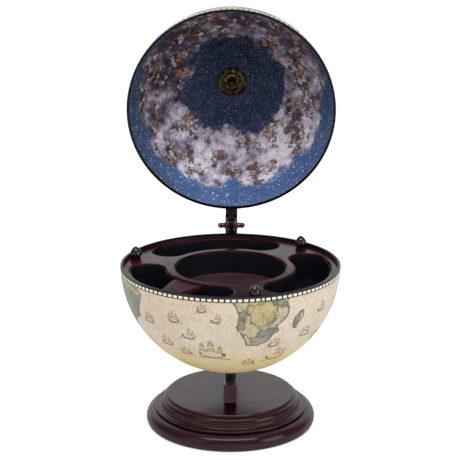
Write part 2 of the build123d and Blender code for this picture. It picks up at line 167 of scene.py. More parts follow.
def effect(name, takes, gives):
    """New effect: a node group with named inputs and outputs."""
    group = bpy.data.node_groups.new(name, "ShaderNodeTree")
    for key, value in takes.items():
        kind = "NodeSocketVector" if value is None else "NodeSocketFloat"
        socket = group.interface.new_socket(key, in_out="INPUT", socket_type=kind)
        if value is not None:
            socket.default_value = value
    for key, kind in gives.items():
        group.interface.new_socket(key, in_out="OUTPUT", socket_type="NodeSocket" + kind)
    into = group.nodes.new("NodeGroupInput").outputs
    out = group.nodes.new("NodeGroupOutput").inputs
    return group, into, out


def use(tree, group, sockets):
    """Places an effect in a material."""
    return add(tree, "Group", sockets, node_tree=group).outputs


def finish(name, **shader_sockets):
    """New material: its tree, its shader and its place on the piece."""
    material = bpy.data.materials.new(name)
    material.use_nodes = True
    tree = material.node_tree
    tree.nodes.clear()
    titles = [key.replace("_", " ").title().replace("Ior", "IOR") for key in shader_sockets]
    shader = add(tree, "BsdfPrincipled", dict(zip(titles, shader_sockets.values())))
    add(tree, "OutputMaterial", {"Surface": shader.outputs[0]})
    return material, tree, shader, add(tree, "TexCoord").outputs["Object"]


def dress(tree, shader, colour, roughness=None, normal=None):
    """Joins colour, roughness and relief to a finish's shader."""
    for key, source in (("Base Color", colour), ("Roughness", roughness), ("Normal", normal)):
        if source is not None:
            tree.links.new(source, shader.inputs[key])


def placed(tree, vector, place):
    """Coordinates in the upright place of one half of the globe."""
    back = place.inverted()
    sockets = {"Location": back.to_translation(), "Rotation": back.to_euler(), 0: vector}
    return add(tree, "Mapping", sockets).outputs[0]


def stretched(tree, vector, along, turn=(0, 0, 0)):
    """Coordinates drawn out along the grain."""
    return add(tree, "Mapping", {"Scale": along, "Rotation": turn, 0: vector}).outputs[0]


def warped(tree, vector, scale, detail, reach):
    """Coordinates pushed about by a noise."""
    push = add(tree, "TexNoise", {"Vector": vector, "Scale": scale, "Detail": detail}).outputs["Color"]
    sockets = {0: push, 1: (reach, reach, reach), 2: vector}
    return add(tree, "VectorMath", sockets, operation="MULTIPLY_ADD").outputs[0]


# --- Effects -------------------------------------------------------------------------------------
def make_wood_grain():
    """Figure, pores and a slow cloudiness, along X of the coordinates."""
    group, into, out = effect("wood_grain", {"Vector": None}, {"Figure": "Float", "Pores": "Float"})
    long = stretched(group, into["Vector"], (0.12, 1, 1))
    broad = grains(group, long, 0.011, 4, 0.55, 0.8)
    lines = grains(group, long, 0.0022, 3, 0.6)
    cloud = grains(group, into["Vector"], 0.05, 2)
    figure = sums(group, "MULTIPLY_ADD", broad, 0.5, sums(group, "MULTIPLY", lines, 0.25))
    figure = sums(group, "MULTIPLY_ADD", cloud, 0.25, figure)
    fine = grains(group, stretched(group, into["Vector"], (0.05, 1, 1)), 0.0006, 2)
    group.links.new(slide(group, figure, 0.36, 0.64), out["Figure"])
    group.links.new(slide(group, fine, 0.42, 0.6), out["Pores"])
    return group


def make_handling():
    """Faint smears and settled dust, for the roughness of polished pieces."""
    gives = {"Smears": "Float", "Dust": "Float"}
    group, into, out = effect("handling", {"Vector": None, "Size": 0.03}, gives)
    scale = sums(group, "DIVIDE", 1.0, into["Size"])
    sockets = {"Vector": into["Vector"], "Scale": scale, "Detail": 3.0, "Distortion": 1.5}
    smear = add(group, "TexNoise", sockets)
    speck = cells(group, into["Vector"], 0.0035)[0]
    group.links.new(slide(group, smear.outputs[0], 0.45, 0.7), out["Smears"])
    group.links.new(slide(group, speck, 0.16, 0.05), out["Dust"])
    return group


def make_print_stipple():
    """Engraver's stipple, paper tooth, a fine mottle and slow yellowing."""
    gives = {"Dots": "Float", "Tooth": "Float", "Age": "Float", "Mottle": "Float"}
    group, into, out = effect("print_stipple", {"Vector": None}, gives)
    where = into["Vector"]
    dots = cells(group, where, 0.0011)[0]
    amount = grains(group, where, 0.012, 3, 0.6)
    limit = slide(group, amount, 0.35, 0.7, 0.1, 0.42)
    mottle = grains(group, where, 0.0024, 3, 0.8)
    age = grains(group, where, 0.06, 4, 0.6)
    group.links.new(sums(group, "LESS_THAN", dots, limit), out["Dots"])
    group.links.new(grains(group, where, 0.0005, 2), out["Tooth"])
    group.links.new(slide(group, mottle, 0.35, 0.65, soft=False), out["Mottle"])
    group.links.new(slide(group, age, 0.35, 0.7), out["Age"])
    return group


def make_globe_angles():
    """Azimuth and latitude, in degrees, of a point on the globe, and its height."""
    gives = {"Azimuth": "Float", "Latitude": "Float", "Height": "Float"}
    group, into, out = effect("globe_angles", {"Vector": None}, gives)
    x, y, z = parts_of(group, into["Vector"])
    azimuth = sums(group, "MULTIPLY", sums(group, "ARCTAN2", y, x), 180 / pi)
    length = add(group, "VectorMath", {0: into["Vector"]}, operation="LENGTH").outputs["Value"]
    rise = sums(group, "ARCSINE", sums(group, "DIVIDE", z, length))
    group.links.new(azimuth, out["Azimuth"])
    group.links.new(sums(group, "MULTIPLY", rise, 180 / pi), out["Latitude"])
    group.links.new(z, out["Height"])
    return group


def make_stars():
    """Night-sky stars: fine dust, and larger ones that are fewer."""
    group, into, out = effect("stars", {"Vector": None}, {"Dust": "Float", "Large": "Float"})
    kinds = {  # spacing in metres, radius and share of the cells that hold a star
        "Dust": ((0.0024, 0.17, 0.55), (0.0038, 0.13, 0.5)),
        "Large": ((0.0055, 0.17, 0.6), (0.012, 0.11, 0.7)),
    }
    for name, sizes in kinds.items():
        total = 0.0
        for size, radius, share in sizes:
            dot = cells(group, into["Vector"], size)
            luck = parts_of(group, dot["Color"])[0]
            spot = slide(group, dot["Distance"], radius * 1.6, radius * 0.5)
            spot = sums(group, "MULTIPLY", spot, sums(group, "LESS_THAN", luck, share))
            total = sums(group, "MAXIMUM", total, spot)
        group.links.new(total, out[name])
    return group


wood_grain = make_wood_grain()
handling = make_handling()
print_stipple = make_print_stipple()
globe_angles = make_globe_angles()
stars = make_stars()


# --- Finishes ------------------------------------------------------------------------------------
def make_lacquered_wood(name, dark, light, turn=(0, 0, 0), rough=0.3, coat=0.6, pores=0.3, sheen=0.16,
                        gloss=0.2, relief=0.00003, tint=(1, 1, 1), polish=1.5, painted_shade_below=None,
                        shaded_recesses=()):
    """Stained wood under satin lacquer. If told, it has painted shade below a height, and painted shade
    in its recesses.
    """
    material, tree, shader, place = finish(
        name, coat_weight=coat, coat_roughness=sheen, coat_ior=polish, specular_ior_level=gloss,
        specular_tint=(*tint, 1))
    grain = use(tree, wood_grain, {"Vector": stretched(tree, place, (1, 1, 1), turn)})
    touch = use(tree, handling, {"Vector": place, "Size": 0.035})
    colour = shades(tree, grain["Figure"], [(0.0, paint(*dark)), (1.0, paint(*light))])
    colour = blend(tree, sums(tree, "MULTIPLY", grain["Pores"], pores), colour, paint(18, 8, 10))
    if painted_shade_below is not None:
        # painted shade: the wood turns black below the given height
        lit = slide(tree, parts_of(tree, place)[2], painted_shade_below - 0.009, painted_shade_below)
        colour = blend(tree, lit, paint(5, 5, 7), colour)
    # painted shade: the wood darkens near each given height, in the grooves there
    for shaded_recess in shaded_recesses:
        off = sums(tree, "ABSOLUTE", sums(tree, "SUBTRACT", parts_of(tree, place)[2], shaded_recess))
        colour = blend(tree, slide(tree, off, 0.0012, 0.0005), colour, paint(18, 3, 7))
    roughness = sums(tree, "MULTIPLY_ADD", touch["Smears"], 0.12, rough)
    dress(tree, shader, colour, roughness, bumps(tree, grain["Pores"], -relief))
    return material


def make_gloss_plastic(name, colour, rough, relief=0.00002, grain=0.0008, gloss=0.5):
    """Moulded black plastic with a fine skin."""
    material, tree, shader, place = finish(name, specular_ior_level=gloss)
    touch = use(tree, handling, {"Vector": place, "Size": 0.04})
    dusty = [min(255, value + 26) for value in colour]
    shade = blend(tree, touch["Dust"], paint(*colour), paint(*dusty))
    roughness = sums(tree, "MULTIPLY_ADD", touch["Smears"], 0.14, rough)
    dress(tree, shader, shade, roughness, bumps(tree, grains(tree, place, grain, 2), relief))
    return material


def make_metal(name, bright, tarnish, rough, amount):
    """Turned metal, tarnished in patches: the amount is the share of dark metal."""
    material, tree, shader, place = finish(name, metallic=1.0)
    stain = slide(tree, grains(tree, place, 0.006, 5, 0.65), 0.5 - amount / 2, 0.9 - amount / 2)
    lines = grains(tree, stretched(tree, place, (1, 0.08, 1)), 0.0004, 2)
    colour = blend(tree, stain, paint(*bright), paint(*tarnish))
    roughness = sums(tree, "MULTIPLY_ADD", stain, 0.25, rough)
    dress(tree, shader, colour, roughness, bumps(tree, lines, 0.00001))
    return material


def make_felt():
    """Pressed wool under the foot."""
    material, tree, shader, place = finish("felt", roughness=0.95, sheen_weight=0.4, sheen_roughness=0.5)
    fibres = grains(tree, place, 0.0009, 5, 0.7, 2.0)
    colour = shades(tree, fibres, [(0.3, paint(14, 24, 20)), (0.7, paint(34, 52, 44))])
    dress(tree, shader, colour, normal=bumps(tree, fibres, 0.0003))
    return material


def make_tape(name, place):
    """Printed equator tape: a row of pale squares on black."""
    material, tree, shader, where = finish(name)
    angles = use(tree, globe_angles, {"Vector": placed(tree, where, place)})
    past_seam = sums(tree, "MULTIPLY_ADD", angles["Azimuth"], 1 / 360, 1 - tape_seam / 360)
    turn = sums(tree, "FRACT", past_seam)
    step = sums(tree, "MULTIPLY_ADD", turn, 360 / square_pitch, 0.5 - square_start / square_pitch)
    along = sums(tree, "FRACT", sums(tree, "ADD", step, 1.0))
    off_middle = sums(tree, "ABSOLUTE", sums(tree, "SUBTRACT", along, 0.5))
    inside = slide(tree, off_middle, square_share / 2 + 0.012, square_share / 2 - 0.012)
    from_rim = sums(tree, "ABSOLUTE", angles["Height"])
    up = slide(tree, from_rim, square_near - print_blur, square_near + print_blur)
    down = slide(tree, from_rim, square_far + print_blur, square_far - print_blur)
    square = sums(tree, "MULTIPLY", inside, sums(tree, "MULTIPLY", up, down))
    worn = slide(tree, grains(tree, where, 0.003, 4, 0.7), 0.22, 0.4)
    printed = use(tree, print_stipple, {"Vector": where})
    pale = blend(tree, printed["Age"], paint(252, 248, 238), paint(240, 230, 212))
    colour = blend(tree, sums(tree, "MULTIPLY", square, worn), paint(16, 15, 17), pale)
    roughness = slide(tree, square, 0, 1, 0.3, 0.45)
    dress(tree, shader, colour, roughness, bumps(tree, printed["Tooth"], 0.00002))
    return material


def dress_print(tree, shader, colour, printed):
    """Joins a chart's colour to its shader, with the roughness and the tooth of aged paper."""
    roughness = slide(tree, printed["Age"], 0, 1, 0.38, 0.5)
    dress(tree, shader, colour, roughness, bumps(tree, printed["Tooth"], 0.00003))


def make_chart_paper(name, place):
    """Aged chart paper: a stippled sea that turns to ochre, and plainer, towards the pole. The ochre is
    the chart's own tint, painted brighter as painted light for the bowl's underside.
    """
    material, tree, shader, where = finish(name, coat_weight=0.15, coat_roughness=0.35)
    angles = use(tree, globe_angles, {"Vector": placed(tree, where, place)})
    printed = use(tree, print_stipple, {"Vector": where})
    off_rim = sums(tree, "ABSOLUTE", angles["Latitude"])
    sea = blend(tree, printed["Age"], paint(242, 231, 211), paint(238, 219, 196))
    # the chart's ochre tint, painted brighter as painted light on the underside of the bowl
    ochre = blend(tree, printed["Age"], paint(255, 232, 172), paint(252, 222, 158))
    wander = sums(tree, "MULTIPLY_ADD", grains(tree, where, 0.05, 3), 24, -12)
    colour = blend(tree, slide(tree, sums(tree, "ADD", off_rim, wander), 26, 54), sea, ochre)
    lines = 0.0
    for angle in ("Azimuth", "Latitude"):
        near = sums(tree, "PINGPONG", angles[angle], chart_pitch / 2)
        lines = sums(tree, "MAXIMUM", lines, slide(tree, near, 0.11, 0.03))
    colour = blend(tree, sums(tree, "MULTIPLY", lines, 0.12), colour, paint(150, 128, 100))
    mottle = sums(tree, "MULTIPLY", printed["Mottle"], slide(tree, off_rim, 30, 56, 0.5, 0.26))
    colour = blend(tree, mottle, colour, paint(148, 124, 98))
    dots = sums(tree, "MULTIPLY", printed["Dots"], slide(tree, off_rim, 30, 56, 0.42, 0.24))
    colour = blend(tree, dots, colour, paint(152, 130, 108))
    dress_print(tree, shader, colour, printed)
    return material


def make_land():
    """Tinted countries with engraved hills. The shore value is 0 on the coast and 1 inland."""
    material, tree, shader, where = finish("tinted_land", coat_weight=0.15, coat_roughness=0.35)
    shore = add(tree, "Attribute", attribute_name="shore").outputs["Fac"]
    realm_size = 0.034
    bent = warped(tree, where, 70.0, 4.0, 0.024)
    realm = cells(tree, bent, realm_size)
    border = cells(tree, bent, realm_size, "DISTANCE_TO_EDGE")[0]
    tints = [paint(216, 200, 124), paint(120, 144, 138), paint(222, 208, 170), paint(204, 184, 118),
             paint(130, 148, 138), paint(214, 198, 142), paint(176, 160, 148)]
    stops = [(i / len(tints), tint) for i, tint in enumerate(tints)]
    colour = shades(tree, parts_of(tree, realm["Color"])[0], stops, "CONSTANT")
    printed = use(tree, print_stipple, {"Vector": where})
    faded = slide(tree, grains(tree, where, 0.02, 4, 0.6), 0.35, 0.65)
    hump = cells(tree, stretched(tree, where, (1, 1, 0.6)), 0.0044)[0]
    off_ring = sums(tree, "ABSOLUTE", sums(tree, "SUBTRACT", hump, 0.36))
    hilly = slide(tree, grains(tree, where, 0.014, 3), 0.44, 0.56)
    layers = (  # what is laid over the tint: its mask, its strength and its colour
        (faded, 0.25, (212, 200, 170)),
        (slide(tree, sums(tree, "MULTIPLY_ADD", faded, 0.4, shore), 1.15, 0.8), 0.75, (134, 124, 112)),
        (slide(tree, border, 0.05, 0.02), 0.7, (92, 84, 70)),
        (sums(tree, "MULTIPLY", slide(tree, off_ring, 0.1, 0.03), hilly), 0.75, (98, 78, 54)),
        (printed["Mottle"], 0.55, (112, 100, 78)),
        (printed["Dots"], 0.4, (104, 92, 74)),
        (slide(tree, shore, 0.54, 0.42), 0.95, (66, 60, 50)),
    )
    for mask, strength, over in layers:
        colour = blend(tree, sums(tree, "MULTIPLY", mask, strength), colour, paint(*over))
    dress_print(tree, shader, colour, printed)
    return material


def make_ink(name, light, dark):
    """Hand-tinted engraving for a ship's parts."""
    material, tree, shader, where = finish(name, roughness=0.45)
    hatch = grains(tree, stretched(tree, where, (1, 1, 3)), 0.0007, 2)
    dress(tree, shader, shades(tree, hatch, [(0.4, paint(*dark)), (0.62, paint(*light))]))
    return material


def make_sky(tree, local, from_pole, lower):
    """Deep blue with stars, paler low down as painted light, and darker to the left of the outer ring as
    painted shade.
    """
    side_x = parts_of(tree, local)[0]
    # painted light: the outer ring is paler low down
    outer = blend(tree, lower, paint(20, 50, 74), paint(84, 112, 162))
    drifts = slide(tree, grains(tree, local, 0.035, 5, 0.6), 0.4, 0.62, 0.0, 0.45)
    outer = blend(tree, drifts, outer, paint(36, 66, 122))
    # painted shade on the left of the outer ring
    outer = blend(tree, slide(tree, side_x, -0.04, -0.15, 0.0, 0.6), outer, paint(22, 38, 56))
    # painted light: the core is paler low down too
    core = blend(tree, lower, paint(8, 19, 38), paint(26, 48, 92))
    sky = blend(tree, slide(tree, from_pole, 34, 60), core, outer)
    haze = slide(tree, grains(tree, local, 0.02, 5, 0.65), 0.35, 0.75)
    haze = sums(tree, "MULTIPLY", haze, slide(tree, from_pole, 50, 70, 0.2, 0.5))
    sky = blend(tree, haze, sky, paint(86, 114, 162))
    spots = use(tree, stars, {"Vector": local})
    light = sums(tree, "MULTIPLY", spots["Large"], slide(tree, from_pole, 42, 62, 0.1, 1.0))
    light = sums(tree, "MAXIMUM", light, sums(tree, "MULTIPLY", spots["Dust"], 0.5))
    return blend(tree, light, sky, paint(232, 240, 252))


def make_clouds(tree, local, lower):
    """Billows with fine dark veins, paler low down and to the right as painted light."""
    side_x = parts_of(tree, local)[0]
    bent = warped(tree, local, 60.0, 5.0, 0.024)
    puff = cells(tree, bent, 0.019)["Distance"]
    small = cells(tree, bent, 0.008)["Distance"]
    billow = sums(tree, "MULTIPLY_ADD", small, 0.4, sums(tree, "MULTIPLY", puff, 0.6))
    billow = sums(tree, "MULTIPLY_ADD", grains(tree, local, 0.012, 6, 0.7), 0.7, billow)
    banks = slide(tree, grains(tree, local, 0.055, 3), 0.38, 0.62)
    billow = sums(tree, "MULTIPLY_ADD", banks, 0.45, billow)
    # painted light: the billows pale low down and to the right
    billow = sums(tree, "SUBTRACT", billow, sums(tree, "MULTIPLY", lower, 0.6))
    billow = sums(tree, "MULTIPLY_ADD", side_x, -1.2, billow)
    cloud = shades(tree, slide(tree, billow, 0.2, 1.3, soft=False), [
        (0.0, paint(244, 236, 244)), (0.25, paint(216, 207, 222)), (0.5, paint(158, 150, 168)),
        (0.75, paint(104, 97, 114)), (1.0, paint(56, 50, 62))])
    off_vein = sums(tree, "SUBTRACT", grains(tree, bent, 0.011, 4, 0.6), 0.5)
    veins = slide(tree, sums(tree, "ABSOLUTE", off_vein), 0.03, 0.0)
    return blend(tree, sums(tree, "MULTIPLY", veins, 0.4), cloud, paint(84, 76, 92))


def make_flecks(tree, local, lower):
    """Crowd of painted flecks in the clouds: its colour, and where it lies."""
    fleck_size = 0.0078
    flowing = warped(tree, local, 150.0, 3.0, 0.016)
    form = cells(tree, flowing, fleck_size)
    colour = shades(tree, parts_of(tree, form["Color"])[0], [
        (0.0, paint(40, 32, 36)), (0.17, paint(214, 180, 158)), (0.32, paint(112, 82, 74)),
        (0.46, paint(236, 222, 212)), (0.62, paint(146, 62, 50)), (0.7, paint(74, 70, 90)),
        (0.82, paint(204, 130, 68)), (0.9, paint(170, 146, 138))], "CONSTANT")
    folds = slide(tree, grains(tree, flowing, 0.0034, 3, 0.6), 0.4, 0.62)
    colour = blend(tree, sums(tree, "MULTIPLY", folds, 0.6), colour, paint(38, 28, 32))
    drawn = slide(tree, cells(tree, flowing, fleck_size, "DISTANCE_TO_EDGE")[0], 0.09, 0.04)
    colour = blend(tree, sums(tree, "MULTIPLY", drawn, 0.8), colour, paint(24, 18, 24))
    crowd = sums(tree, "MULTIPLY_ADD", lower, -0.04, grains(tree, local, 0.03, 6, 0.72))
    loose = slide(tree, grains(tree, flowing, 0.007, 3, 0.6), 0.34, 0.42)
    return colour, sums(tree, "MULTIPLY", loose, slide(tree, crowd, 0.45, 0.5))


def make_night_sky():
    """Dome lining: deep blue with stars round its pole and rim, and a wreath of clouds between."""
    material, tree, shader, where = finish("night_sky", specular_ior_level=0.25, roughness=0.5)
    local = placed(tree, where, dome_place)
    angles = use(tree, globe_angles, {"Vector": local})
    ragged = sums(tree, "MULTIPLY_ADD", grains(tree, local, 0.045, 6, 0.62), 40, -20)
    from_pole = sums(tree, "ADD", sums(tree, "SUBTRACT", 90, angles["Latitude"]), ragged)
    wreath = sums(tree, "MULTIPLY", slide(tree, from_pole, 29, 33), slide(tree, from_pole, 70, 64))
    # low down on the open dome, where the sky and clouds are painted lighter as painted light
    lower = slide(tree, parts_of(tree, local)[1], -0.07, 0.13, soft=False)
    cloud = make_clouds(tree, local, lower)
    flecks, crowd = make_flecks(tree, local, lower)
    cloud = blend(tree, sums(tree, "MULTIPLY", crowd, 0.88), cloud, flecks)
    colour = blend(tree, wreath, make_sky(tree, local, from_pole, lower), cloud)
    dress(tree, shader, colour, normal=bumps(tree, grains(tree, where, 0.0006, 2), 0.00002))
    return material


upright = (0, radians(90), 0)  # turns the grain upwards
rosy = (1.0, 0.8, 0.9)  # sheen of the mahogany
faint = 0.00001  # relief of well filled pores
foot_groove = 0.0235  # height of the groove over the foot's large half-round, darkened with painted shade
block_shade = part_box("pocket_block")[1][2] - 0.002  # the light reaches the top of the block alone

foot_wood = make_lacquered_wood(
    "foot_wood", (32, 5, 13), (50, 9, 21), rough=0.4, coat=0.5, pores=0.1, sheen=0.17, gloss=0.08,
    relief=faint, tint=rosy, polish=1.6, shaded_recesses=(foot_groove,))
# painted light: the lower arm is the same mahogany, painted lighter for the light on its front
lit_lower_arm_wood = make_lacquered_wood(
    "lit_lower_arm_wood", (56, 32, 40), (72, 44, 53), upright, coat=0.5, pores=0.15, sheen=0.25,
    relief=faint)
# painted shade: the upper arm is the same mahogany as the lower arm, painted near black
shaded_upper_arm_wood = make_lacquered_wood(
    "shaded_upper_arm_wood", (8, 5, 7), (14, 9, 11), upright, coat=0.12, pores=0.15, gloss=0.1, relief=faint)
tray_wood = make_lacquered_wood(
    "tray_wood", (36, 8, 13), (56, 13, 21), rough=0.2, coat=0.15, pores=0.15, sheen=0.12, gloss=0.1,
    relief=faint, tint=rosy)
# painted shade on the block's sides, below its top
block_wood = make_lacquered_wood(
    "block_wood", (50, 19, 27), (72, 32, 42), rough=0.4, coat=0.0, gloss=0.1, tint=rosy,
    painted_shade_below=block_shade)
floor_wood = make_lacquered_wood(
    "floor_wood", (58, 40, 50), (84, 56, 68), rough=0.4, coat=0.3, sheen=0.3, tint=rosy)
finial_wood = make_lacquered_wood(
    "finial_wood", (14, 8, 9), (26, 13, 15), upright, coat=0.9, sheen=0.08, gloss=0.1, relief=0.0,
    polish=1.7)
dark_wood = make_lacquered_wood("dark_wood", (40, 26, 20), (66, 46, 36), rough=0.55, coat=0.0)
edging = make_gloss_plastic("edging", (8, 7, 9), 0.22, gloss=0.2)
moulding = make_gloss_plastic("moulding", (22, 14, 15), 0.4, 0.00004, 0.0012)
liner = make_gloss_plastic("liner", (17, 20, 27), 0.4, gloss=0.2)
bush = make_gloss_plastic("bush", (18, 18, 19), 0.45)
brass = make_metal("hinge_brass", (196, 160, 100), (50, 36, 24), 0.14, 0.55)
antique_brass = make_metal("antique_brass", (150, 126, 90), (30, 25, 19), 0.18, 0.6)
steel = make_metal("zinc_steel", (178, 180, 184), (110, 108, 104), 0.32, 0.3)
felt = make_felt()
bowl_tape = make_tape("bowl_tape", bowl_place)
dome_tape = make_tape("dome_tape", dome_place)
land_print = make_land()
sail_ink = make_ink("sail_ink", (216, 192, 142), (184, 154, 104))
hull_ink = make_ink("hull_ink", (168, 116, 70), (108, 74, 50))
line_ink = make_ink("line_ink", (108, 90, 70), (76, 62, 52))

node_finishes = {
    foot_wood: ["foot"],
    lit_lower_arm_wood: ["lower_arm"],
    shaded_upper_arm_wood: ["upper_arm"],
    tray_wood: ["tray_board"],
    block_wood: ["pocket_block"],
    floor_wood: ["well_floor"],
    finial_wood: ["finials"],
    dark_wood: ["bowl_hub", "tray_ledge"],
    edging: ["bowl_rim", "dome_rim"],
    moulding: ["bowl_shell", "dome_shell"],
    liner: ["well_liner", "liner_back", "liner_left", "liner_right"],
    bush: ["lower_bush", "upper_bush"],
    brass: ["hinge_pin", "hinge_washers", "hinge_nuts", "dome_bolt"],
    antique_brass: ["rosette", "dome_nut"],
    steel: ["arm_screws", "lower_bolt", "hub_washer", "hub_nut"],
    felt: ["felt_pad"],
    bowl_tape: ["bowl_band"],
    dome_tape: ["dome_band"],
}
for material, names in node_finishes.items():
    for name in names:
        for slot in frame["nodes"][name].material_slots:
            slot.material = material


# --- Papers --------------------------------------------------------------------------------------
def piece(name, bm, materials, body):
    """Makes an object of a finished mesh, and says what it rides on."""
    mesh = bpy.data.meshes.new(name)
    for face in bm.faces:
        face.smooth = True
    bm.to_mesh(mesh)
    bm.free()
    for material in materials:
        mesh.materials.append(material)
    made = bpy.data.objects.new(name, mesh)
    bpy.context.scene.collection.objects.link(made)
    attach(made, body)
    return made


def thicken(made, thickness):
    """Gives a sheet its thickness, inwards."""
    wall = made.modifiers.new("thickness", "SOLIDIFY")
    wall.thickness = thickness
    wall.offset = -1
    wall.use_even_offset = True


def to_globe(point, place, radius=ink_radius):
    """Carries an azimuth and a latitude, in degrees, onto one half of the globe."""
    azimuth, latitude = radians(point[0]), radians(point[1])
    level = radius * cos(latitude)
    return place @ Vector((level * cos(azimuth), level * sin(azimuth), radius * sin(latitude)))


def make_paper(name, radius, thickness, place, south, material, body, inward=False):
    """Spherical paper from the rim to the hole round the pole bolt."""
    bm = bmesh.new()
    sign = -1 if south else 1
    rim, hole = degrees(rim_height / radius), 90 - degrees(bush_clearance / radius)
    bmesh.ops.create_grid(bm, x_segments=paper_turns, y_segments=paper_steps, size=0.5)
    for vert in bm.verts:
        azimuth, latitude = 360 * (vert.co.x + 0.5), rim + (hole - rim) * (vert.co.y + 0.5)
        vert.co = to_globe((azimuth, sign * latitude), place, radius)
    bmesh.ops.remove_doubles(bm, verts=bm.verts, dist=1e-7)  # closes the seam
    middle = place.to_translation()
    bm.normal_update()
    outwards = all((f.calc_center_median() - middle).dot(f.normal) > 0 for f in bm.faces)
    if outwards == inward:
        bmesh.ops.reverse_faces(bm, faces=bm.faces)
    thicken(piece(name, bm, [material], body), thickness)


make_paper("bowl_chart", globe_radius, paper_thickness, bowl_place, True,
           make_chart_paper("bowl_chart_paper", bowl_place), "bowl")
make_paper("dome_chart", globe_radius, paper_thickness, dome_place, False,
           make_chart_paper("dome_chart_paper", dome_place), "dome")
make_paper("dome_lining", lining_radius - lining_thickness, lining_thickness, dome_place, False,
           make_night_sky(), "dome", inward=True)


# --- Coasts --------------------------------------------------------------------------------------
coasts = {  # corners of each land: longitude and latitude, in degrees
    "africa": [(-6, 35.8), (3, 37), (10, 37.3), (11, 34), (15, 32.3), (20, 31), (23, 32.5), (29, 31),
        (32.5, 31.2), (34.5, 28), (37, 21), (39.5, 15.5), (43, 11.5), (51, 11.8), (48, 5), (42, -1.5),
        (39.5, -5), (40.5, -11), (40, -15), (35, -20), (35.5, -24), (32.8, -27), (31, -30), (27, -33.8),
        (22, -34.5), (18.3, -34), (17, -29.5), (14.8, -25), (12.5, -18.5), (13.7, -12), (12, -6),
        (9, -1), (9.5, 4), (5, 4.5), (0, 5.5), (-7.5, 4.5), (-13, 8.5), (-17, 14), (-16.5, 21),
        (-13, 27.5), (-9.8, 31)],
    "island_south": [(49.3, -12), (50.4, -15.8), (48.5, -21), (47, -25), (44.5, -25), (43.5, -21),
        (44.5, -16.5)],
    "south_america": [(-87, -5), (-84, 8), (-79, 12), (-69, 10.5), (-59, 5), (-57, 0), (-51, -2.5),
        (-42, -6), (-44, -12), (-46, -17), (-48, -22), (-55, -27), (-60, -33), (-64, -36), (-69, -39),
        (-72, -43), (-75, -50), (-76, -54), (-81, -50), (-80, -40), (-78, -30), (-77, -19), (-83, -14),
        (-88, -6)],
    "australia": [(114, -22), (122, -18), (127, -14), (131, -12), (136, -12), (137, -16), (141, -16),
        (142, -11), (146, -19), (150, -23), (153, -28), (151, -34), (147, -38), (140, -38), (136, -35),
        (131, -31.5), (124, -33.5), (116, -35), (114, -30)],
    "spice_island": [(131, -1), (137, -2), (141, -2.8), (147, -6), (150, -10.5), (145, -8), (140, -8.5),
        (137, -5), (133, -3.5)],
    "long_island": [(95, 5.5), (100, 1), (105, -4.5), (114, -7.5), (110, -8.8), (105, -7), (101, -3),
        (97, 1.5)],
    "new_zealand": [(173, -35), (178, -38), (175, -41.5), (170, -46), (167, -45.5), (171, -42),
        (174, -39)],
    "eurasia": [(-9, 43.5), (-9, 37), (-5.5, 36), (0, 38.5), (3, 42), (8, 44), (12, 42), (16, 38.5),
        (18, 40.5), (13, 45), (20, 41), (23, 37), (26, 40.5), (28, 37), (36, 36.5), (35, 31.5), (39, 21),
        (43, 13), (52, 16), (59, 22.5), (56, 26), (50, 30), (60, 25), (67, 24.5), (73, 18), (77, 8.5),
        (80, 15), (88, 22), (94, 17), (98, 10), (103, 3), (101, 13), (106, 9), (109, 13), (106, 20),
        (117, 23.5), (122, 31), (119, 38), (126, 35), (129, 39), (135, 44), (141, 53), (156, 52),
        (162, 60), (178, 65), (170, 69), (140, 72), (110, 75), (80, 72), (68, 69), (45, 67), (40, 66),
        (28, 70), (15, 68), (6, 61), (8, 58), (10, 57), (8, 54), (2, 51), (-4, 48), (-1, 44)],
    "britain": [(-5, 50), (1, 51.5), (0, 54), (-3, 58.5), (-6, 57), (-3, 54), (-4.5, 52)],
    "japan": [(131, 32), (136, 34), (141, 36), (142, 42), (145, 44), (140, 43), (138, 37), (132, 34.5)],
    "north_america": [(-168, 66), (-156, 71), (-125, 70), (-95, 69), (-82, 68), (-94, 60), (-80, 52),
        (-78, 62), (-64, 59), (-56, 52), (-66, 45), (-70, 42), (-76, 35), (-81, 30), (-81, 26),
        (-84, 30), (-97, 28), (-97, 20), (-90, 21), (-88, 16), (-83, 9), (-94, 16), (-105, 20),
        (-110, 24), (-117, 33), (-124, 41), (-124, 48), (-135, 58), (-150, 60), (-162, 56), (-158, 62)],
    "greenland": [(-70, 77), (-55, 70), (-45, 60), (-40, 65), (-22, 70), (-20, 79), (-45, 81)],
}


def cut(bm, point, normal, **clear):
    """Cuts a whole mesh along a plane."""
    geom = bm.verts[:] + bm.edges[:] + bm.faces[:]
    bmesh.ops.bisect_plane(bm, geom=geom, dist=1e-6, plane_co=point, plane_no=normal, **clear)


def cut_to_grid(bm, step):
    """Cuts a flat outline along meridians and parallels, so that it can follow the globe."""
    bmesh.ops.triangulate(bm, faces=bm.faces)
    for axis, normal in enumerate((Vector((1, 0, 0)), Vector((0, 1, 0)))):
        low = min(v.co[axis] for v in bm.verts)
        high = max(v.co[axis] for v in bm.verts)
        for i in range(1, int((high - low) / step) + 1):
            cut(bm, normal * (low + i * step), normal)


def face_out(bm, middle):
    """Turns every face away from the middle of its half of the globe."""
    bm.normal_update()
    turned = [f for f in bm.faces if (f.calc_center_median() - middle).dot(f.normal) < 0]
    bmesh.ops.reverse_faces(bm, faces=turned)


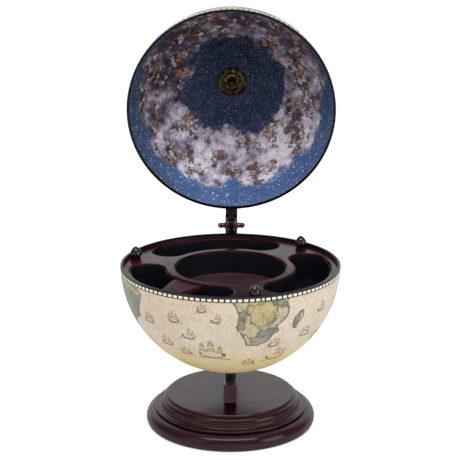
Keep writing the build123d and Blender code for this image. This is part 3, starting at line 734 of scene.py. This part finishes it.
def make_coast(name, outline, south):
    """One land of the chart, on one half of the globe."""
    bm = bmesh.new()
    corners = [bm.verts.new((x + chart_turn, y * chart_squash, 0)) for x, y in outline]
    for pair in zip(corners, corners[1:] + corners[:1]):
        bm.edges.new(pair)
    bmesh.ops.subdivide_edges(bm, edges=bm.edges, cuts=4)
    for vert in bm.verts:
        shift = Vector()
        for pitch, reach in coast_bends:
            shift += noise.noise_vector(vert.co * pitch) * reach
        vert.co += Vector((shift.x, shift.y, 0))
    bmesh.ops.contextual_create(bm, geom=bm.edges)
    shore = bm.verts.layers.float.new("shore")
    inland = bm.faces[:][0]
    for value, width in shore_steps:
        bmesh.ops.inset_region(bm, faces=[inland], thickness=width, use_even_offset=False,
                               use_boundary=True)
        for vert in inland.verts:
            vert[shore] = value
    edge = land_margin * (-1 if south else 1)
    cut(bm, (0, edge, 0), (0, 1, 0), clear_outer=south, clear_inner=not south)
    if not bm.faces:
        bm.free()
        return
    cut_to_grid(bm, land_grid)
    place = bowl_place if south else dome_place
    for vert in bm.verts:
        vert.co = to_globe(vert.co, place)
    face_out(bm, place.to_translation())
    made = piece(name, bm, [land_print], "bowl" if south else "dome")
    thicken(made, ink_thickness)


noise.seed_set(coast_seed)  # the same coasts each run
for name, outline in coasts.items():
    latitudes = [y for x, y in outline]
    if min(latitudes) < -land_reach:
        make_coast(name + "_bowl", outline, True)
    if max(latitudes) > land_reach:
        make_coast(name + "_dome", outline, False)


# --- Ships ---------------------------------------------------------------------------------------
ships = [  # azimuth and latitude in degrees, and size
    (222, -19, 1.0), (240, -15, 1.0), (247, -24, 1.1), (230, -32, 1.1), (242, -37, 0.9), (263, -13, 0.8),
    (256, -7.5, 0.8), (259, -36, 2.1), (301, -41, 1.6), (296, -30, 1.0), (317, -27, 1.1),
    (325, -14, 0.9), (334, -34, 1.2), (283, -45, 1.0), (348, -18, 1.0), (5, -42, 1.2), (68, -20, 1.1),
    (84, -36, 1.3), (104, -12, 1.0), (122, -27, 1.4), (141, -40, 1.1), (162, -14, 1.0), (232, 24, 1.3),
    (214, 12, 1.0), (226, 40, 1.1), (75, 20, 1.2), (95, 36, 1.4), (60, 9, 1.0)]


def make_ship(index, azimuth, latitude, size):
    """Small square-rigged ship: a hull cut from a disc, two or three masts and bellied sails."""
    bm = bmesh.new()
    inks = [sail_ink, hull_ink, line_ink]
    sail_layer, hull_layer, line_layer = range(3)

    def patch(columns=1, rows=1):
        """Flat grid, one unit wide and high."""
        return bmesh.ops.create_grid(bm, x_segments=columns, y_segments=rows, size=0.5)["verts"]

    def drawn(before, layer, outline=0.0):
        """Inks the faces that are not in before, and outlines them."""
        new = [face for face in bm.faces if face not in before]
        for face in new:
            face.material_index = layer
        if outline:
            rim = bmesh.ops.inset_region(bm, faces=new, thickness=outline, use_even_offset=True,
                                         use_boundary=True)
            for face in rim["faces"]:
                face.material_index = line_layer

    def stroke(start, end, width, lift=0.002):
        """Straight ink line."""
        before = set(bm.faces)
        line = patch()
        run = Vector(end) - Vector(start)
        middle = Vector((*(Vector(start) + run / 2), lift))
        bmesh.ops.scale(bm, vec=(run.length, width, 1), verts=line)
        turn = Matrix.Rotation(run.angle_signed(Vector((1, 0))), 3, "Z")
        bmesh.ops.rotate(bm, cent=(0, 0, 0), matrix=turn, verts=line)
        bmesh.ops.translate(bm, vec=middle, verts=line)
        drawn(before, line_layer)

    hull = bmesh.ops.create_circle(bm, cap_ends=True, segments=20, radius=1.0)["verts"]
    bmesh.ops.scale(bm, vec=(1.0, 0.42, 1), verts=hull)
    cut(bm, (0, -0.05, 0), (0.1, 1, 0), clear_outer=True)
    drawn(set(), hull_layer, 0.05)
    for x, y, wide, high in ((-0.84, 0.1, 0.3, 0.26), (0.86, -0.05, 0.24, 0.16)):
        before = set(bm.faces)
        castle = patch()
        bmesh.ops.scale(bm, vec=(wide, high, 1), verts=castle)
        bmesh.ops.translate(bm, vec=(x, y, 0.001), verts=castle)
        drawn(before, hull_layer, 0.04)
    for level in (-0.44, -0.54):
        before = set(bm.faces)
        for vert in patch(16):
            x, y = vert.co.x, vert.co.y
            vert.co = Vector((x * 2.4 + level * 0.4, y * 0.04 + 0.04 * sin(x * 30) + level, 0))
        drawn(before, line_layer)
    masts = [(-0.6, 1.05, 0.42), (0.04, 1.5, 0.56), (0.62, 1.15, 0.44)]  # place, height, sail's width
    if index % 3 == 2:
        masts = masts[1:]
    for x, top, wide in masts:
        stroke((x, -0.1), (x + 0.03, top), 0.04)
        stroke((x, top * 0.95), (x + 0.2, top * 0.9), 0.07)
        stroke((x, top * 0.8), (x - 0.42, 0.0), 0.018)
        for level, share in ((0.3, 1.0), (0.7, 0.7)):
            before = set(bm.faces)
            sail = patch(6, 3)
            for vert in sail:
                side, up = vert.co.x * 2, vert.co.y
                belly = 0.3 * (1 - side * side) * (0.5 - up)
                vert.co.x = wide * share * vert.co.x * (1 - 0.3 * up) + 0.1 * belly + 0.05
                vert.co.y = top * 0.32 * (up + belly)
            bmesh.ops.translate(bm, vec=(x, top * level, 0.004), verts=sail)
            drawn(before, sail_layer, 0.028)
    stroke((0.9, 0.05), (1.35, 0.42), 0.04)
    stroke((1.3, 0.38), (masts[-1][0], masts[-1][1] * 0.85), 0.018)

    lean = radians(6 * sin(index * 2.4))
    flip = -1 if index % 3 == 1 else 1
    place = bowl_place if latitude < 0 else dome_place
    for vert in bm.verts:
        x, y = vert.co.x * flip * size * ship_scale, vert.co.y * size * ship_scale
        x, y = x * cos(lean) - y * sin(lean), x * sin(lean) + y * cos(lean)
        point = (azimuth + x / cos(radians(latitude)), latitude + y)
        vert.co = to_globe(point, place, ink_radius + vert.co.z * ship_lift)
    face_out(bm, place.to_translation())
    body = "bowl" if latitude < 0 else "dome"
    thicken(piece(f"ship_{index:02d}", bm, inks, body), ink_thickness)


for index, (azimuth, latitude, size) in enumerate(ships):
    make_ship(index, azimuth, latitude, size)


# --- Studio --------------------------------------------------------------------------------------
def make_floor():
    """Plain pale floor that keeps the bar's shadow."""
    bm = bmesh.new()
    bmesh.ops.create_grid(bm, x_segments=1, y_segments=1, size=6.0)
    mesh = bpy.data.meshes.new("floor")
    bm.to_mesh(mesh)
    bm.free()
    material, tree, shader, _ = finish(
        "floor_paper", roughness=1.0, base_color=paint(238, 238, 238), specular_ior_level=0.0,
        emission_color=(1, 1, 1, 1))
    seen = add(tree, "LightPath").outputs["Is Camera Ray"]
    tree.links.new(sums(tree, "MULTIPLY", seen, floor_glow), shader.inputs["Emission Strength"])
    mesh.materials.append(material)
    floor = bpy.data.objects.new("floor", mesh)
    bpy.context.scene.collection.objects.link(floor)


def make_softbox(name, place, target, size, power):
    """Large soft lamp."""
    lamp = bpy.data.lights.new(name, "AREA")
    lamp.shape = "RECTANGLE"
    lamp.size, lamp.size_y = size
    lamp.energy = power
    box = bpy.data.objects.new(name, lamp)
    box.location = place
    box.rotation_euler = (Vector(target) - Vector(place)).to_track_quat("-Z", "Y").to_euler()
    bpy.context.scene.collection.objects.link(box)


def make_world():
    """White studio: seen and mirrored at full strength behind the bar, darker in front of it."""
    world = bpy.data.worlds.new("studio")
    world.use_nodes = True
    tree = world.node_tree
    tree.nodes.clear()
    path = add(tree, "LightPath").outputs
    seen = path["Is Camera Ray"]
    mirrored = sums(tree, "MAXIMUM", path["Is Glossy Ray"], path["Is Transmission Ray"])
    way = parts_of(tree, add(tree, "TexCoord").outputs["Generated"])
    toward = sums(tree, "MULTIPLY_ADD", sums(tree, "ABSOLUTE", way[0]), -0.9, way[1])
    room = slide(tree, toward, -0.4, 0.3, 0.15, 1.0)
    strength = sums(tree, "MULTIPLY_ADD", mirrored, sums(tree, "SUBTRACT", room, room_light),
                    room_light)
    strength = sums(tree, "MULTIPLY_ADD", seen, sums(tree, "SUBTRACT", 1.0, strength), strength)
    background = add(tree, "Background", {"Color": (1, 1, 1, 1), "Strength": strength})
    add(tree, "OutputWorld", {"Surface": background.outputs[0]})
    bpy.context.scene.world = world


make_floor()
make_world()
softboxes = (  # name, place, target, size and power
    ("left_box", (-1.7, -1.6, 1.1), (0, 0, 0.25), (1.2, 1.4), 4.0),
    ("right_box", (2.0, -1.2, 0.9), (0, 0, 0.25), (1.2, 1.4), 11.5),
    ("top_box", (0, -0.75, 1.95), (0, 0, 0.2), (1.9, 0.65), 16.0),
    ("low_box", (0, -2.4, 0.45), (0, 0, 0.2), (2.4, 0.9), 2.0),
)
for softbox in softboxes:
    make_softbox(*softbox)

camera_lens = bpy.data.cameras.new("camera")
camera_lens.lens = 111.2
camera_lens.sensor_width = 36.0
camera = bpy.data.objects.new("camera", camera_lens)
camera.location = (0.0152, -2.044, 0.8735)
camera.rotation_euler = (radians(74.415), 0, radians(0.445))
bpy.context.scene.collection.objects.link(camera)
bpy.context.scene.camera = camera
bpy.context.scene.view_settings.view_transform = "Standard"
